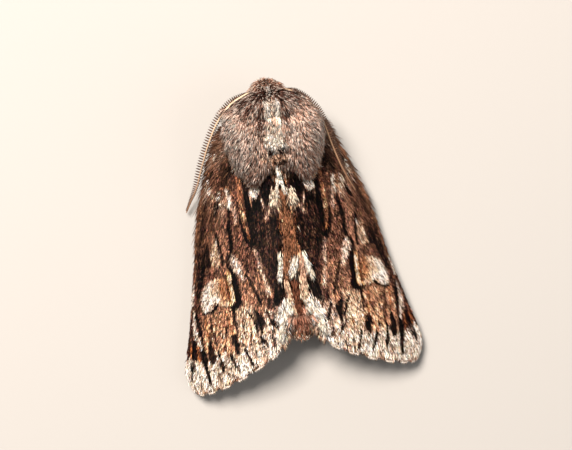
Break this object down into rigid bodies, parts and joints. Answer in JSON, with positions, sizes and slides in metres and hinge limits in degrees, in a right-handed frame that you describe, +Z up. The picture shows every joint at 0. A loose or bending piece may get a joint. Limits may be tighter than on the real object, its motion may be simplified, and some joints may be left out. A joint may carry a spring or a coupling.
{
  "type": "moth",
  "caption": "Life-size resting moth with patterned forewings folded like a roof, furry thorax, comb feelers and hairy legs, standing on small flat soles.",
  "frame": {"origin": "on the floor, under the middle of the moth's bounding box", "axes": "-Y is the way the head faces, +Y runs back along the body to the folded wing tips, +X is the moth's own left, +Z is up"},
  "size_m": [0.0232, 0.029, 0.0083],
  "materials": {
    "head_fur": "matt hair scales, flecked grey-brown",
    "thorax_fur": "matt long hair scales, pinkish grey with dark tips",
    "abdomen_fur": "matt soft hair, pinkish brown",
    "wing_scales": "matt overlapping scales with brown, black and cream markings",
    "hindwing_scales": "matt overlapping scales, pale grey-brown",
    "feeler": "satin cream shaft with brown comb teeth",
    "leg_fur": "matt hair scales, dark brown with pale bands",
    "eye": "glossy near-black globe"
  },
  "bodies": {
    "root": {"abdomen": "abdomen_fur", "antenna_left": "feeler", "antenna_right": "feeler", "collar": "thorax_fur", "eye_left": "eye", "eye_right": "eye", "femur_front_left": "leg_fur", "femur_front_right": "leg_fur", "femur_hind_left": "leg_fur", "femur_hind_right": "leg_fur", "femur_middle_left": "leg_fur", "femur_middle_right": "leg_fur", "forewing_left": "wing_scales", "forewing_right": "wing_scales", "head": "head_fur", "hindwing_left": "hindwing_scales", "hindwing_right": "hindwing_scales", "palp_left": "head_fur", "palp_right": "head_fur", "tail_tuft": "abdomen_fur", "tarsus_front_left": "leg_fur", "tarsus_front_right": "leg_fur", "tarsus_hind_left": "leg_fur", "tarsus_hind_right": "leg_fur", "tarsus_middle_left": "leg_fur", "tarsus_middle_right": "leg_fur", "tegula_left": "thorax_fur", "tegula_right": "thorax_fur", "thorax": "thorax_fur", "tibia_front_left": "leg_fur", "tibia_front_right": "leg_fur", "tibia_hind_left": "leg_fur", "tibia_hind_right": "leg_fur", "tibia_middle_left": "leg_fur", "tibia_middle_right": "leg_fur"}
  },
  "joints": []
}
